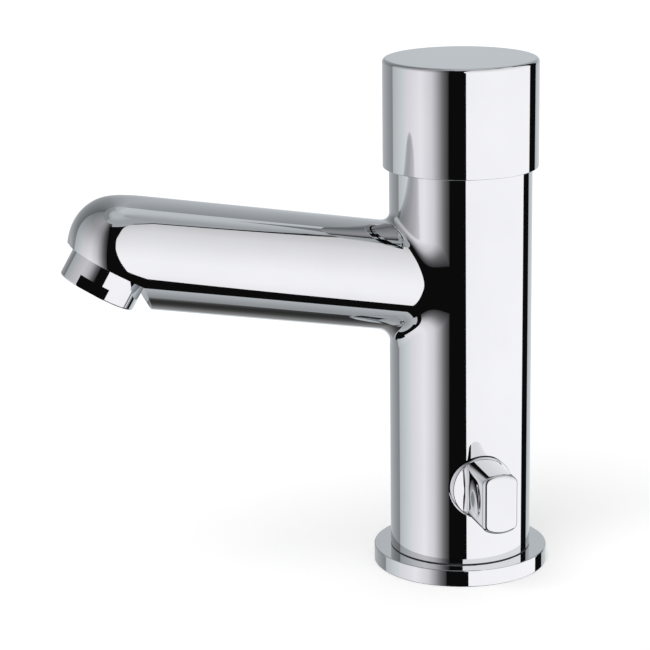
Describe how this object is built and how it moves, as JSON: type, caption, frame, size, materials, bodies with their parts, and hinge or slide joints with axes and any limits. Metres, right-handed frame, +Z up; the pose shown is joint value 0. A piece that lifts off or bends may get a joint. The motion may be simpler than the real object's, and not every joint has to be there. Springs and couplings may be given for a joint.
{
  "type": "push timed tap",
  "caption": "Deck-mounted push timed tap: round column on a base flange, wide sprung push cap, rising bull-nosed spout with a tilted outlet ring, and a bar-shaped temperature knob on the side.",
  "frame": {"origin": "centre of the base flange's underside, on the deck", "axes": "+Z up along the column, -Y along the spout to the user, +X along the temperature knob"},
  "size_m": [0.0672, 0.1513, 0.1604],
  "materials": {
    "chrome": "mirror chrome plate",
    "brass": "turned",
    "steel": "plain stainless",
    "rubber": "matt black",
    "white_plastic": "moulded",
    "grey_plastic": "moulded"
  },
  "bodies": {
    "tap": {"tap_body": "chrome", "base_flange": "chrome", "aerator_ring": "chrome", "head_nut": "brass", "gland_bush": "brass", "return_spring": "steel", "valve_seat": "steel", "aerator_screen": "steel", "base_gasket": "rubber", "stem_seal": "rubber", "sleeve_o_ring": "rubber", "seat_o_ring": "rubber", "spindle_o_ring": "rubber", "gland_o_ring": "rubber", "aerator_washer": "rubber", "guide_ring": "white_plastic", "cartridge_sleeve": "white_plastic", "aerator_insert": "white_plastic"},
    "push": {"push_cap": "chrome", "cap_core": "white_plastic", "cap_set_screw": "steel", "plunger_stem": "steel", "timing_piston": "grey_plastic", "lip_seal": "rubber", "piston_clip": "steel", "timing_screw": "brass", "valve_washer": "rubber", "washer_nut": "brass"},
    "knob": {"temperature_knob": "chrome", "knob_set_screw": "steel", "mixing_spindle": "brass", "mixing_drum": "grey_plastic"}
  },
  "joints": [
    {"name": "cap_slide", "type": "slide", "parent": "tap", "child": "push", "axis": [0, 0, -1], "range_m": [0, 0.006], "stiffness_N_per_m": 1500, "springref_m": -0.008, "deforming": ["return_spring"]},
    {"name": "knob_turn", "type": "hinge", "parent": "tap", "child": "knob", "pos_m": [0.0233, 0, 0.0304], "axis": [1, 0, 0], "range_deg": [-60, 60]}
  ]
}
